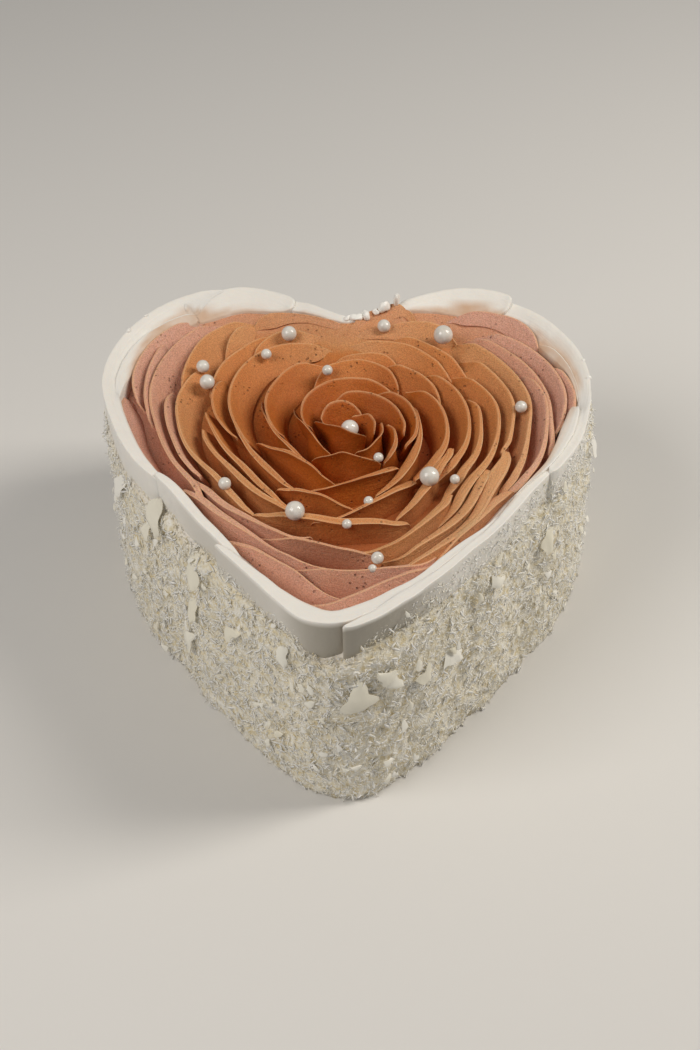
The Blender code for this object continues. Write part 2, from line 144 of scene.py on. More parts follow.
# The white border's ribbons, each as places along it: the angle, and in mm how far inside the rim
# the outer edge lies, how wide the top is, and how far it stands above the rim.
BORDER_PETALS = (
    ((270.3, -0.1, 2, 0.3), (272.5, 0.3, 3.4, 0.5), (275.5, 0.6, 4.5, 0.5), (279, 0.6, 5.1, 0.4),
     (285, 0.6, 6, 0.2), (290, 0.5, 4.6, 0.1), (298, -0.9, 4.1, 0), (306, -0.5, 4, 0),
     (314, -0.7, 3.9, 0), (322, -1.2, 4.5, -0.1), (328, -1.2, 5, -0.3), (336, 0.2, 4.6, -0.7),
     (344, 1.6, 3.6, -1.5)),
    ((340.5, -0.4, 3, 0.2), (343, -0.8, 6, 0.4), (349, -1.2, 7, 0.4), (356, -1.5, 7.2, 0.1),
     (361, -0.8, 6.4, 0), (366, 1, 5, -0.4), (372, 2.2, 4, -1.4)),
    ((359, 1.6, 3, -0.6), (366, 2, 4.6, -0.6), (373, 2.3, 7, -0.8), (384, 2.4, 10.5, -1.1),
     (391, 2.4, 13.8, -1.3), (396, 2.4, 11.8, -1.4), (404, 2.7, 9.4, -1.6), (411, 3, 9.4, -1.9)),
    ((47.5, 0.6, 10, 0.6), (53, 0.3, 14, 0.5), (59, 0, 16, 0.3), (64, -0.3, 13.5, 0.2),
     (69, -0.2, 9, 0.1), (73, 0, 5.6, -0.3), (75.5, 0.6, 2, -1.8)),
    ((70, 0.4, 3, -2.6), (77, 0.4, 2.4, -3), (84, 0.4, 2.2, -2.6), (89, 0.4, 1.8, -2.2),
     (92, 0.6, 1, -3)),
    ((85, 0.3, 1, -3), (89, 0.3, 2.4, -1.3), (94, 0.3, 3.6, -0.3), (102, 0.3, 4.4, -0.3),
     (112, 0.9, 6, -1.2)),
    ((107, 0.4, 7, 0.5), (114, -0.4, 11.5, 0.4), (122, 0.2, 13.5, 0.2), (129, 1, 14.5, -0.1),
     (135, 2.2, 12, -0.8)),
    ((124, 1.8, 0.8, 0.5), (128, 0.8, 5.5, 0.6), (133, 0, 12, 0.5), (141, -0.9, 8.6, 0.3),
     (152, -1.4, 7.8, 0.1), (165, -0.8, 7.8, 0), (185, 0.2, 7.2, -0.3), (198, 1.4, 5.2, -0.7),
     (205, 2.6, 3, -1.4)),
    ((202.5, 2.8, 3, 0.4), (206, 2.4, 4.4, 0.5), (211, 2.2, 4.8, 0.4), (220, 3, 4.8, 0.2),
     (229, 3.4, 4.4, 0), (237, 2.8, 3.8, -0.4), (243, 2.2, 2.4, -1.2)),
    ((234, 0.6, 1, 0.4), (236.5, 0.4, 3.2, 0.5), (241, 0.4, 4, 0.4), (245.5, 0.9, 4.6, 0.3),
     (250, 1.2, 5.8, 0.2), (254, 0.7, 6.3, 0.1), (258.5, -0.6, 8.2, 0), (262, -1.1, 9.6, 0),
     (266, 1, 8, 0), (270, 3, 8, -0.1), (275, 4.6, 7.1, -0.3), (280, 5, 5.7, -0.5),
     (286, 5, 4.4, -0.7), (292, 4, 3.4, -0.8), (300, 2.8, 3.6, -0.9), (310, 2.8, 2.8, -1),
     (320, 2.6, 1.6, -1.5)),
    ((133, 10, 6, -2.6), (147, 6.4, 7.5, -1.9), (160, 5.6, 7.4, -1.5), (168, 5.2, 4, -1.6),
     (174, 5, 1, -2.2)),
    ((328, 3.4, 0.8, -0.9), (337, 3.6, 1.6, -0.4), (346, 3, 3.8, 0.3), (356, 3.2, 6.4, 0.5),
     (364.5, 4.6, 4.6, 0.4)),
    ((366, 5.6, 0.8, -2.4), (370, 7, 1.4, -2.2), (376, 9.4, 1.8, -2.2), (382, 10.2, 3.4, -2.4),
     (387, 11, 4.6, -2.8), (390, 12.4, 4, -3.4), (392, 14.8, 1.5, -4.4)),
)

# Where the tan smear on the border's inner part begins: angle, mm inside the rim.
SMEAR_STARTS = (
    (0, 5.5), (15, 5.2), (24, 5.8), (31, 7), (38, 8.6), (45, 9.6), (50, 8), (60, 7.6), (65, 7.6),
    (71, 4.6), (80, 2.4), (95, 2.6), (104, 3.6), (112, 8.5), (122, 10.5), (129, 9), (134, 5.4),
    (145, 5.4), (160, 9), (180, 9), (316, 9), (324, 1.4), (338, 2.6), (350, 4.6), (360, 5.5),
)

# Each pearl: x, y and diameter in mm, and how far its middle rises above the petals' edges, as a
# share of its radius.
PEARLS = (
    (1, -1, 8.0, -1.55),
    (-29, 60, 7.2, 0.5),
    (44, 59, 9.1, 0.5),
    (-21, -54, 8.4, 0.4),
    (36, -34, 8.6, 0.5),
    (-65, 26, 7.0, 0.5),
    (-68, 37, 6.1, 0.5),
    (78, 11, 5.5, 0.5),
    (-52, -38, 5.6, 0.5),
    (14, -79, 5.3, 0.4),
    (16, 66, 6.3, 0.5),
    (-39, 46, 5.0, 0.4),
    (-10, 34, 4.9, 0.4),
    (14, -21, 4.4, -0.45),
    (10, -46, 4.3, -0.45),
    (1, -59, 4.2, -0.4),
    (47, -34, 4.3, 0.3),
    (12, -83, 3.7, -0.6),
)

# The large flakes on the side: angle, height, length, turn (degrees, mm, mm, degrees), and how
# far the shape goes from a leaf to a pointed shard.
LARGE_FLAKES = (
    (-87, 79, 16, 98, 1.0),
    (-82, 84, 9, 120, 0.8),
    (-80, 78, 11, -60, 0.4),
    (-62, 62, 12, -35, 0.8),
    (-72, 70, 9, 40, 0.6),
    (-155, 99, 18, 96, 0.1),
    (-160, 84, 10, 95, 0.2),
    (-134, 94, 15, 104, 0.1),
    (-137.5, 63, 12, 96, 0.0),
    (-140, 38, 11, 50, 0.9),
    (-118, 77, 10, 40, 0.7),
    (-102, 90, 9, -70, 0.3),
    (-45, 88, 10, -20, 0.6),
    (-20, 80, 11, 30, 0.5),
    (8, 92, 12, 70, 0.3),
    (35, 70, 14, 15, 0.4),
    (80, 55, 13, -40, 0.6),
    (118, 78, 14, 65, 0.2),
    (160, 60, 13, 25, 0.7),
    (185, 88, 14, 80, 0.2),
)

# Crumbs caught on the rim: angle, height above it, width and height (degrees, mm).
RIM_CRUMBS = (
    (75.4, 4.6, 3.4, 7), (79, 3, 5.6, 4.8), (81.6, 1.8, 3.4, 2.6), (84.8, 1.4, 5, 4),
    (88, 0.4, 5.4, 3.4), (91, -0.4, 3.4, 2.2), (144, 0, 1.4, 1.4), (150, 0, 2.2, 2),
    (21, -0.6, 2, 2.2), (15, -0.4, 2.4, 2), (8, -1.6, 2, 2), (1, -2.2, 2.2, 2.6),
    (-5, -2.6, 2, 2), (-12, -3, 2.2, 2),
)
SMALL_FLAKES = 170

# How finely the large surfaces are divided: the core round and up, the rose's floor out and round.
CORE_GRID = (520, 72)
ROSE_FLOOR_GRID = (26, 140)

# Petals with a broad lip: where it is broadest, over how many degrees, and how much it adds in mm.
BROAD_LIPS = {
    (281, 349, 79, 90, 76): (337, 11, 3.2),
    (234, 298, 71, 55, 67): (268, 26, 2.2),
    (261, 298, 90, 84.5, 94.5): (268, 12, 1.5),
}

# Buttercream colours from the middle of the rose outwards.
ROSE_STOPS = ((0.0, "B95A0C"), (0.3, "C96C1E"), (0.55, "DD8B48"), (0.75, "E6A56C"), (1.0, "E9AB7F"))
PINK_STOPS = ((0.0, "DC976E"), (0.6, "E3A37F"), (0.8, "ECB398"), (1.0, "F1BCA5"))
GRAIN_BROWN = "6E340E"
# Painted shade, darkening the buttercream at the petals' roots.
PAINTED_SHADE_BROWN = "94421C"
# Painted shade in the small pits.
PIT_SHADE_BROWN = "4A2210"
# Painted highlight along the petals' edges.
EDGE_HIGHLIGHT_CREAM = "F0C292"
# The border's white, the tan smeared on it, and the grey painted as shade on its face below the
# tip.
ICING_WHITE = "F2EEE6"
SMEAR_TAN = "D3AF90"
PAINTED_SHADE_GREY = "ADA698"
# The shavings, from their dark parts to their pale ones.
COAT_STOPS = ((0.3, "E0CFA4"), (0.48, "F0E7CF"), (0.65, "FAF7EE"))
COAT_SMOOTH = "EFE9DF"
FLAKE_STOPS = ((0.0, "ECE4CB"), (0.5, "F5F1E3"), (1.0, "FBF9F4"))
SHAVING_PALEST = "FAF8F2"
PEARL_STOPS = ((0.3, "DCD6CB"), (0.7, "EEEAE2"))
FLOOR_COLOUR = "E2E0DC"
SKY_COLOUR = "EEEFF2"

# The camera's place, and its turns in degrees: to the left, down and round its own axis.
CAMERA_PLACE = (0.01663, -0.46886, 0.5727)
CAMERA_YAW = 2.0
CAMERA_PITCH = 48.07
CAMERA_ROLL = -1.12


# Curves and surfaces


def smooth_step(value):
    value = np.clip(value, 0.0, 1.0)
    return value * value * (3.0 - 2.0 * value)


def rim_table():
    """The rim's radius at every half degree, on a smooth curve through HEART_RADII, mirrored."""
    last = len(HEART_RADII) - 1
    radii = np.array(HEART_RADII + HEART_RADII[-2:0:-1], float)
    angles = np.arange(0.0, 360.0, 0.5)
    place = angles / HEART_STEP
    first = place.astype(int)
    share = place - first
    before, start, end, after = (radii[(first + step) % (2 * last)] for step in (-1, 0, 1, 2))
    bend = 2 * before - 5 * start + 4 * end - after
    twist = 3 * start - before - 3 * end + after
    table = 0.5 * (2 * start + (end - before) * share + bend * share ** 2 + twist * share ** 3)
    return table * MM


RIM_TABLE = rim_table()


def heart_radius(angle):
    around = (np.asarray(angle, float) - TIP_ANGLE) % 360.0 * 2.0
    first = around.astype(int)
    share = around - first
    count = len(RIM_TABLE)
    return RIM_TABLE[first % count] * (1 - share) + RIM_TABLE[(first + 1) % count] * share


def from_tip(angle):
    """Degrees from the tip, from -180 to 180, anticlockwise from above."""
    return (angle - TIP_ANGLE + 180.0) % 360.0 - 180.0


def bell(value, middle, width, power=2):
    """1 at the middle, and falling to 0 on both sides of it."""
    return np.exp(-((value - middle) / width) ** power)


def backwards(angle):
    """1 behind, 0 at the sides and -1 at the tip."""
    return np.sin(np.radians(angle))


def quarter_round(distance, radius):
    """A quarter circle from 0 at an end to 1 at a radius from it, and 1 beyond."""
    return np.sqrt(np.clip(1 - (1 - np.clip(distance / radius, 0, 1)) ** 2, 0, 1))


def polar(angle, radius):
    radians = np.radians(angle)
    return np.stack((radius * np.cos(radians), radius * np.sin(radians), 0.0 * radians), axis=-1)


def outward(angle):
    """The rim's outward direction."""
    before, after = (polar(place, heart_radius(place)) for place in (angle - 1.0, angle + 1.0))
    along = after - before
    out = np.stack((along[..., 1], -along[..., 0], 0.0 * along[..., 0]), axis=-1)
    return out / np.linalg.norm(out, axis=-1, keepdims=True)


def rim_point(angle, push, height):
    """Points pushed outwards from the rim's outline, at a height."""
    angle, push, height = np.broadcast_arrays(np.asarray(angle, float), push, height)
    points = polar(angle, heart_radius(angle)) + outward(angle) * push[..., None]
    points[..., 2] = height
    return points


def ring_radius(ring, angle):
    heart_share = smooth_step((ring - ROUND_RING) / (HEART_RING - ROUND_RING))
    return ring / 100.0 * ((1 - heart_share) * 100 * MM + heart_share * heart_radius(angle))


def rose_top(radius):
    return ROSE_EDGE_HEIGHT + BUD_RISE * np.exp(-radius / BUD_WIDTH)


def through(values, share):
    """A smooth line through values spread evenly along a petal."""
    places = np.linspace(0, 1, len(values))
    return np.polyval(np.polyfit(places, values, len(values) - 1), share)


def waves(share, count, size, seed):
    """A smooth uneven line along a petal."""
    draw = np.random.default_rng(seed)
    line = np.zeros_like(share)
    for index in range(1, count + 1):
        turn = draw.uniform(0, 2 * math.pi)
        line += draw.uniform(-1, 1) / index * np.sin(2 * math.pi * index * 0.7 * share + turn)
    return line * size


# Meshes


def mesh_object(name, points, faces, material, smooth=True, tones=None):
    """A piece from arrays: points (n, 3), faces (m, 3 or 4) and a tone for each point.

    A face of three corners in a row of four has -1 last.
    """
    mesh = bpy.data.meshes.new(name)
    mesh.vertices.add(len(points))
    mesh.vertices.foreach_set("co", np.ascontiguousarray(points, np.float32).ravel())
    corners = faces[faces >= 0]
    sides = np.sum(faces >= 0, axis=1)
    mesh.loops.add(len(corners))
    mesh.loops.foreach_set("vertex_index", corners.astype(np.int32))
    mesh.polygons.add(len(faces))
    mesh.polygons.foreach_set("loop_start", (np.cumsum(sides) - sides).astype(np.int32))
    mesh.update(calc_edges=True)
    for tone_name, values in (tones or {}).items():
        attribute = mesh.attributes.new(tone_name, "FLOAT", "POINT")
        attribute.data.foreach_set("value", np.ascontiguousarray(values, np.float32).ravel())
    mesh.polygons.foreach_set("use_smooth", np.full(len(faces), smooth))
    mesh.materials.append(material)
    thing = bpy.data.objects.new(name, mesh)
    bpy.context.scene.collection.objects.link(thing)
    return thing


def grid_faces(rows, columns, wrap_columns=False, wrap_rows=False):
    """Quads of a grid whose points are stored row by row."""
    numbers = np.arange(rows * columns).reshape(rows, columns)
    if wrap_columns:
        numbers = np.concatenate((numbers, numbers[:, :1]), axis=1)
    if wrap_rows:
        numbers = np.concatenate((numbers, numbers[:1]), axis=0)
    corners = (numbers[:-1, :-1], numbers[1:, :-1], numbers[1:, 1:], numbers[:-1, 1:])
    return np.stack(corners, axis=-1).reshape(-1, 4)


def end_caps(rows, columns):
    """Faces across the first and the last row of a grid whose columns go round."""
    caps = []
    for first in (0, (rows - 1) * columns):
        near, far = 0, columns - 1
        while far - near > 1:
            corners = [near, near + 1, far - 1, far]
            if far - near == 2:
                corners = [near, near + 1, far]
            if first:
                corners.reverse()
            cap = [corner + first for corner in corners]
            caps.append((cap + [-1])[:4])
            near, far = near + 1, far - 1
    return np.array(caps)


def closed_faces(rows, columns):
    """A tube's faces with both ends closed: the rows go along it, and the columns round it."""
    return np.concatenate((grid_faces(rows, columns, wrap_columns=True), end_caps(rows, columns)))


def join_arrays(parts):
    """One set of points, faces and tones from many."""
    points, faces, tones = [], [], []
    count = 0
    for part_points, part_faces, part_tones in parts:
        points.append(part_points)
        faces.append(np.where(part_faces >= 0, part_faces + count, -1))
        tones.append(part_tones)
        count += len(part_points)
    joined = {}
    for name in tones[0]:
        joined[name] = np.concatenate([entry[name] for entry in tones])
    return np.concatenate(points), np.concatenate(faces), joined


# Materials


def linear(hex_colour):
    values = []
    for start in (0, 2, 4):
        value = int(hex_colour[start:start + 2], 16) / 255.0
        values.append(value / 12.92 if value <= 0.04045 else ((value + 0.055) / 1.055) ** 2.4)
    return (*values, 1.0)


class Surface:
    """A material with short ways to add nodes."""

    def __init__(self, name, roughness, subsurface=0.0, radius=1.0 * MM, tint=(1.0, 0.7, 0.5)):
        self.material = bpy.data.materials.new(name)
        self.material.use_nodes = True
        self.nodes = self.material.node_tree.nodes
        self.links = self.material.node_tree.links
        self.shader = self.nodes["Principled BSDF"]
        self.shader.inputs["Roughness"].default_value = roughness
        self.shader.inputs["Subsurface Weight"].default_value = subsurface
        self.shader.inputs["Subsurface Scale"].default_value = radius
        self.shader.inputs["Subsurface Radius"].default_value = tint
        self.place = self.nodes.new("ShaderNodeTexCoord").outputs["Object"]

    def wire(self, node, inputs):
        """Each input set to a number or linked to an output. Gives the node's outputs."""
        for name, value in inputs.items():
            if isinstance(value, (int, float)):
                node.inputs[name].default_value = value
            else:
                self.links.new(value, node.inputs[name])
        return node.outputs

    def noise(self, scale, detail=3.0, roughness=0.5):
        node = self.nodes.new("ShaderNodeTexNoise")
        inputs = {"Scale": scale, "Detail": detail, "Roughness": roughness, "Vector": self.place}
        return self.wire(node, inputs)["Fac"]

    def streaks(self, tone_name, scale):
        """Fine lines along a ribbon, from a tone that holds the distance across it in mm."""
        node = self.nodes.new("ShaderNodeTexNoise")
        node.noise_dimensions = "1D"
        drift = self.maths("MULTIPLY", self.noise(30, 1.0), 1.2)
        across = self.maths("ADD", self.tone(tone_name), drift)
        return self.wire(node, {"Scale": scale, "Detail": 3.0, "W": across})["Fac"]

    def pits(self, scale, low, high):
        """1 in small round pits, and 0 elsewhere."""
        node = self.nodes.new("ShaderNodeTexVoronoi")
        outputs = self.wire(node, {"Scale": scale, "Vector": self.place})
        return self.map(outputs["Distance"], low, high, 1.0, 0.0)

    def tone(self, name):
        node = self.nodes.new("ShaderNodeAttribute")
        node.attribute_name = name
        return node.outputs["Fac"]

    def map(self, value, low, high, new_low=0.0, new_high=1.0):
        node = self.nodes.new("ShaderNodeMapRange")
        inputs = {"From Min": low, "From Max": high, "To Min": new_low, "To Max": new_high}
        return self.wire(node, inputs | {"Value": value})["Result"]

    def maths(self, operation, first, second):
        node = self.nodes.new("ShaderNodeMath")
        node.operation = operation
        return self.wire(node, {0: first, 1: second})["Value"]

    def ramp(self, value, *stops):
        """Colours along a value: (place, hex) pairs."""
        node = self.nodes.new("ShaderNodeValToRGB")
        elements = node.color_ramp.elements
        while len(elements) < len(stops):
            elements.new(0.5)
        for element, (place, colour) in zip(elements, stops):
            element.position = place
            element.color = linear(colour)
        return self.wire(node, {"Fac": value})["Color"]

    def mix(self, share, first, second):
        """From a first colour to a second, each an output or a hex value."""
        node = self.nodes.new("ShaderNodeMix")
        node.data_type = "RGBA"
        self.links.new(share, node.inputs["Factor"])
        for name, colour in (("A", first), ("B", second)):
            socket = next(item for item in node.inputs if item.name == name and item.type == "RGBA")
            if isinstance(colour, str):
                socket.default_value = linear(colour)
            else:
                self.links.new(colour, socket)
        return next(item for item in node.outputs if item.type == "RGBA")

    def bump(self, *layers):
        """Bumps from (height, distance) pairs, one on another."""
        before = {}
        for height, distance in layers:
            node = self.nodes.new("ShaderNodeBump")
            inputs = {"Strength": 1.0, "Distance": distance, "Height": height} | before
            before = {"Normal": self.wire(node, inputs)["Normal"]}
        self.wire(self.shader, before)

    def colour(self, output):
        self.links.new(output, self.shader.inputs["Base Color"])


def buttercream(name):
    """Whipped buttercream, caramel to tan or pink, with a sandy grain and pits, painted shade and
    painted edge highlights.
    """
    surface = Surface(name, 0.6, 0.22, 1.2 * MM, (1.0, 0.5, 0.25))
    surface.shader.inputs["Specular IOR Level"].default_value = 0.36
    drift = surface.map(surface.noise(55), 0, 1, -0.06, 0.06)
    tint = surface.maths("ADD", surface.tone("tint"), drift)
    tan, pink = surface.ramp(tint, *ROSE_STOPS), surface.ramp(tint, *PINK_STOPS)
    base = surface.mix(surface.tone("pink"), tan, pink)
    grain = surface.noise(1900, 2.0, 0.6)
    base = surface.mix(surface.map(grain, 0.35, 0.65, 0.4, 0.0), base, GRAIN_BROWN)
    # Painted shade, darker towards the petals' roots.
    base = surface.mix(surface.tone("deep"), base, PAINTED_SHADE_BROWN)
    # Painted shade in sparse small pits, which the bump also sinks.
    sparse = surface.map(surface.noise(95), 0.54, 0.62)
    pit = surface.maths("MULTIPLY", surface.pits(430, 0.12, 0.26), sparse)
    base = surface.mix(surface.maths("MULTIPLY", pit, 0.5), base, PIT_SHADE_BROWN)
    lines = surface.streaks("across", 1.5)
    # Painted highlight along the edges, broken into thin lines by the streaks.
    pale = surface.maths("MULTIPLY", surface.tone("pale"), surface.map(lines, 0.35, 0.6, 0.3, 0.75))
    surface.colour(surface.mix(pale, base, EDGE_HIGHLIGHT_CREAM))
    lined = surface.maths("MULTIPLY", lines, surface.tone("lined"))
    soft = surface.noise(420, 3.0)
    surface.bump((grain, 0.3 * MM), (soft, 0.4 * MM), (lined, 0.5 * MM), (pit, -0.6 * MM))
    return surface.material


# The rose


def at_front(angle, ring):
    """1 for the outermost petals by the tip, which lie back against the border, 0 elsewhere."""
    return bell(from_tip(angle), -3.0, 34.0) * smooth_step((ring - 0.56) / 0.2)


def shade(angle, ring):
    """How much painted shade darkens the buttercream at a petal's root: most at the front and the
    sides.
    """
    turned = from_tip(angle)
    front = bell(turned, -3.0, 42.0) * smooth_step((ring - 0.3) / 0.25)
    front = front * (1 - 0.4 * smooth_step((ring - 0.75) / 0.15))
    sides = bell(turned, 78.0, 38.0) + 0.3 * bell(turned, -78.0, 34.0)
    return np.clip(0.12 + 0.58 * front + 0.55 * sides, 0, 0.75)


def petal_lean(angle, ring):
    """How far a petal leans out from the vertical, in radians: most behind, inwards at the tip."""
    behind = smooth_step(0.55 + 0.55 * backwards(angle))
    outer = np.clip((ring - 0.1) / 0.5, 0, 1)
    usual = (3 + 17 * outer) + behind * (24 + 16 * outer)
    front = at_front(angle, ring)
    return np.radians(usual * (1 - front) - 48.0 * front)


def by_notch(angle):
    """1 at the heart's notch, where the buttercream fills the gaps between the petals."""
    return bell(angle % 360.0, 88.0, 32.0)


def rose_depth(angle, ring):
    """How far below the petals' edges the buttercream between them lies."""
    behind = smooth_step(0.55 + 0.5 * backwards(angle))
    outer = np.clip((ring - 0.08) / 0.45, 0, 1)
    usual = 16.0 - 4.5 * outer - 4.0 * behind * outer
    usual = usual - 3.5 * behind * smooth_step((ring - 0.7) / 0.2)
    usual = usual - 3.0 * right_lips(angle, ring) * smooth_step((ring - 0.55) / 0.15)
    notch = by_notch(angle) * smooth_step((ring - 0.45) / 0.2)
    raised = 0.68 + 0.26 * smooth_step((ring - 0.84) / 0.09)
    return usual * (1 - 0.25 * at_front(angle, ring)) * (1 - raised * notch) * MM


def floor_height(angle, radius):
    ring = radius / heart_radius(angle)
    return rose_top(radius) - rose_depth(angle, ring)


def petal_arrays(petal, seed):
    """One petal: a ribbon that thickens towards its root, with a crisp or blunt upper edge."""
    start, end, *rings = petal
    middle_angle = (start + end) / 2
    length = math.radians(end - start) * float(ring_radius(rings[len(rings) // 2], middle_angle))
    count = max(20, int(length / (1.2 * MM)))
    share = np.linspace(0, 1, count)
    share = 0.5 * share + 0.5 * smooth_step(share)
    angle = start + (end - start) * share
    radius = ring_radius(through(rings, share), angle) + waves(share, 4, 0.45 * MM, seed)
    top = rose_top(radius) + waves(share, 5, 0.4 * MM, seed + 500)

    # Both ends are rounded and tuck in a little.
    from_end = np.minimum(share, 1 - share) * length
    rounding = 1 - quarter_round(from_end, 1.5 * MM)
    ring = radius / heart_radius(angle)
    behind = smooth_step(0.2 + 1.1 * backwards(angle))
    front = at_front(angle, ring)
    by_tip = bell(angle % 360.0, 267.0, 42.0) * smooth_step((ring - 0.5) / 0.2)
    right_start = right_lips(angle, ring) * (share < 0.5)
    low_end = np.maximum(front, right_start)
    sunk = 1.0 + 4.5 * behind + 5.0 * np.maximum(front, 0.7 * by_tip) + 3.0 * right_start
    sunk = np.minimum(sunk, rose_depth(angle, ring) / MM + 0.3)
    sunk = sunk * (1 - smooth_step(from_end / ((13 + 7 * low_end) * MM)))
    top = top - (1.3 * rounding + sunk) * MM
    pulled = 0.8 + 0.8 * front + 2.2 * right_start
    radius = radius - pulled * MM * (1 - smooth_step(from_end / ((6 + 9 * low_end) * MM)))
    taper = 9.0 - 6.0 * np.cos(np.radians(angle)) + 13.0 * right_start
    narrow = 0.12 + 0.88 * quarter_round(from_end, taper * MM)

    ring = radius / heart_radius(angle)
    at_rim = smooth_step((ring - 0.92) / 0.06) if max(rings) > 95.5 else 0.0
    top = top + 2.3 * MM * at_rim
    root_height = floor_height(angle, radius) - 1.0 * MM
    lean = petal_lean(angle, ring)
    rise = np.maximum(top - root_height, 0.4 * MM)
    root = radius - rise * np.tan(lean)
    edge = (0.3 + 0.2 * np.clip(ring, 0, 1)) * MM * (0.4 + 0.6 * narrow)
    base = (0.3 + 1.2 * narrow) * MM
    spread = 5.5 * MM * (1 - front) * smooth_step(0.5 - 0.6 * backwards(angle))
    spread = base + spread * narrow ** 2
    # Behind, a petal's ends have no gap below them.
    filled = smooth_step(1.4 * backwards(angle) - 0.2) * (1 - smooth_step(from_end / (14 * MM)))
    spread = spread + filled * 1.15 * rise * np.tan(np.abs(lean)) / np.cos(lean)
    lip = lip_width(angle, ring) * narrow
    if petal in BROAD_LIPS:
        broadest, reach, extra = BROAD_LIPS[petal]
        lip = lip + extra * MM * bell(angle, broadest, reach) * narrow
    slope = 0.5 * right_lips(angle, ring) * lip

    # The section goes round from the outer root, over the edge, to the inner root. For each point
    # it says how far up the petal it lies, how far out of its middle sheet, and a further drop.
    section = (
        (0.0, spread, 0.0),
        (0.3, 0.6 * spread, 0.0),
        (0.6, edge + 0.2 * spread, 0.0),
        (0.85, edge * 1.15, 0.0),
        (0.95, edge * 1.05, 0.0),
        (1.0, edge, 0.25 * MM),
        (1.0, edge * 0.8, 0.06 * MM),
        (1.0, edge * 0.35, 0.0),
        (1.0, -0.25 * lip, 0.2 * MM + 0.1 * slope),
        (1.0, -0.6 * lip, 0.12 * MM + 0.4 * slope),
        (1.0, 0.1 * MM - lip, 0.12 * MM + slope),
        (1.0, -0.06 * MM - lip, 0.35 * MM + 1.2 * slope),
        (0.94, -edge - 0.75 * lip, 1.2 * slope),
        (0.82, -edge - 0.5 * lip, 0.7 * slope),
        (0.55, -edge * 1.2, 0.0),
        (0.28, -0.8 * base, 0.0),
        (0.0, -base, 0.0),
    )
    columns = len(section)
    limit = (0.93 + 0.055 * at_rim) * heart_radius(angle)
    points = np.empty((count, columns, 3))
    for index, (up, off, drop) in enumerate(section):
        curve = 0.12 * rise * math.sin(math.pi * up) * np.abs(np.sin(lean))
        reach = root + (radius - root) * up + (off - curve) * np.cos(lean) - drop * np.sin(lean)
        height = root_height + rise * up - off * np.sin(lean) * 0.6 - drop * np.cos(lean)
        points[:, index] = polar(angle, np.clip(reach, 0.15 * MM, limit)) + ROSE_CENTRE
        points[:, index, 2] = np.maximum(height, SHOULDER_HEIGHT + 0.3 * MM)
    # Painted highlight on the upper edge and the lip, weaker on the right's sloping lips.
    pale = np.zeros((count, columns))
    pale[:, 5:12] = (0.6, 1.0, 1.0, 0.3, 0.3, 1.0, 0.5)
    pale[:, 10:12] *= 1 - 0.8 * right_lips(angle, ring)[:, None]
    steps = np.linalg.norm(np.diff(points, axis=1, prepend=points[:, :1]), axis=2)
    across = np.cumsum(steps, axis=1) / MM + 9.0 * (seed % 23)
    lined = np.repeat(side_lips(angle, ring), columns)
    # Painted shade, growing from the edge down to the root.
    below_edge = 1 - np.array([up for up, _, _ in section])
    deep = below_edge[None] * shade(angle, ring)[:, None]
    draw = np.random.default_rng(seed + 900)
    tint = ring + draw.uniform(-0.05, 0.05)
    tones = {
        "tint": np.broadcast_to(tint[:, None], (count, columns)).ravel(),
        "pale": pale.ravel(),
        "pink": np.full(count * columns, float(petal in OUTER_PETALS)),
        "across": across.ravel(),
        "lined": lined,
        "deep": deep.ravel(),
    }
    return points.reshape(-1, 3), closed_faces(count, columns), tones


def past_bud(ring):
    """0 in the bud, rising to 1 in the petals round it."""
    return np.clip((ring - 0.22) / 0.2, 0, 1)


def side_lips(angle, ring):
    """1 for the petals at the front left and the right, whose lips are wide, 0 for crisp edges."""
    left = bell(from_tip(angle), -50.0, 26.0) * past_bud(ring)
    return np.clip(left + right_lips(angle, ring), 0, 1)


def right_lips(angle, ring):
    """1 for the petals at the right, whose lips are widest and slope inwards."""
    return bell(from_tip(angle), 50.0, 30.0) * past_bud(ring)


def lip_width(angle, ring):
    usual = 0.3 + 0.3 * past_bud(ring)
    return (usual + 1.9 * side_lips(angle, ring) + 1.3 * right_lips(angle, ring)) * MM


def build_rose(name, node, petals, first_seed, rings):
    parts = [petal_arrays(petal, first_seed + index) for index, petal in enumerate(petals)]
    parts.append(floor_arrays(*rings))
    points, faces, tones = join_arrays(parts)
    rose = mesh_object(name, points, faces, buttercream(name + "_finish"), True, tones)
    rose.data.set_sharp_from_angle(angle=math.radians(38))
    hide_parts(node)
    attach(rose, "root")


def floor_arrays(inner_ring, outer_ring):
    """The buttercream below the petals, which shows in the gaps between them."""
    rows, columns = ROSE_FLOOR_GRID
    points = np.empty((rows, columns, 3))
    pink = np.empty((rows, columns))
    deep = np.empty((rows, columns))
    angle = np.arange(columns) * 360.0 / columns
    turned = from_tip(angle)
    tan = bell(np.abs(turned), 180.0, 40.0) + 0.8 * bell(turned, 52.0, 20.0)
    first_pink = 68.0 - 9.0 * bell(turned, -10.0, 45.0, 4)
    reach = outer_ring - inner_ring + 3.5 * by_notch(angle) * (outer_ring > 90)
    for row in range(rows):
        ring = inner_ring + reach * row / (rows - 1)
        radius = ring_radius(ring, angle)
        points[row] = polar(angle, radius) + ROSE_CENTRE
        points[row, :, 2] = floor_height(angle, radius)
        # Painted shade on the buttercream between the petals.
        deep[row] = shade(angle, ring / 100.0)
        pink[row] = smooth_step((ring - first_pink) / 10.0) * (1 - np.clip(tan, 0, 1))
    tint = np.repeat(np.linspace(inner_ring, outer_ring, rows) / 100.0, columns)
    tones = {"tint": tint, "pink": pink.ravel(), "deep": deep.ravel()}
    for unused in ("pale", "across", "lined"):
        tones[unused] = np.zeros(rows * columns)
    return points.reshape(-1, 3), grid_faces(rows, columns, wrap_columns=True), tones


# The border


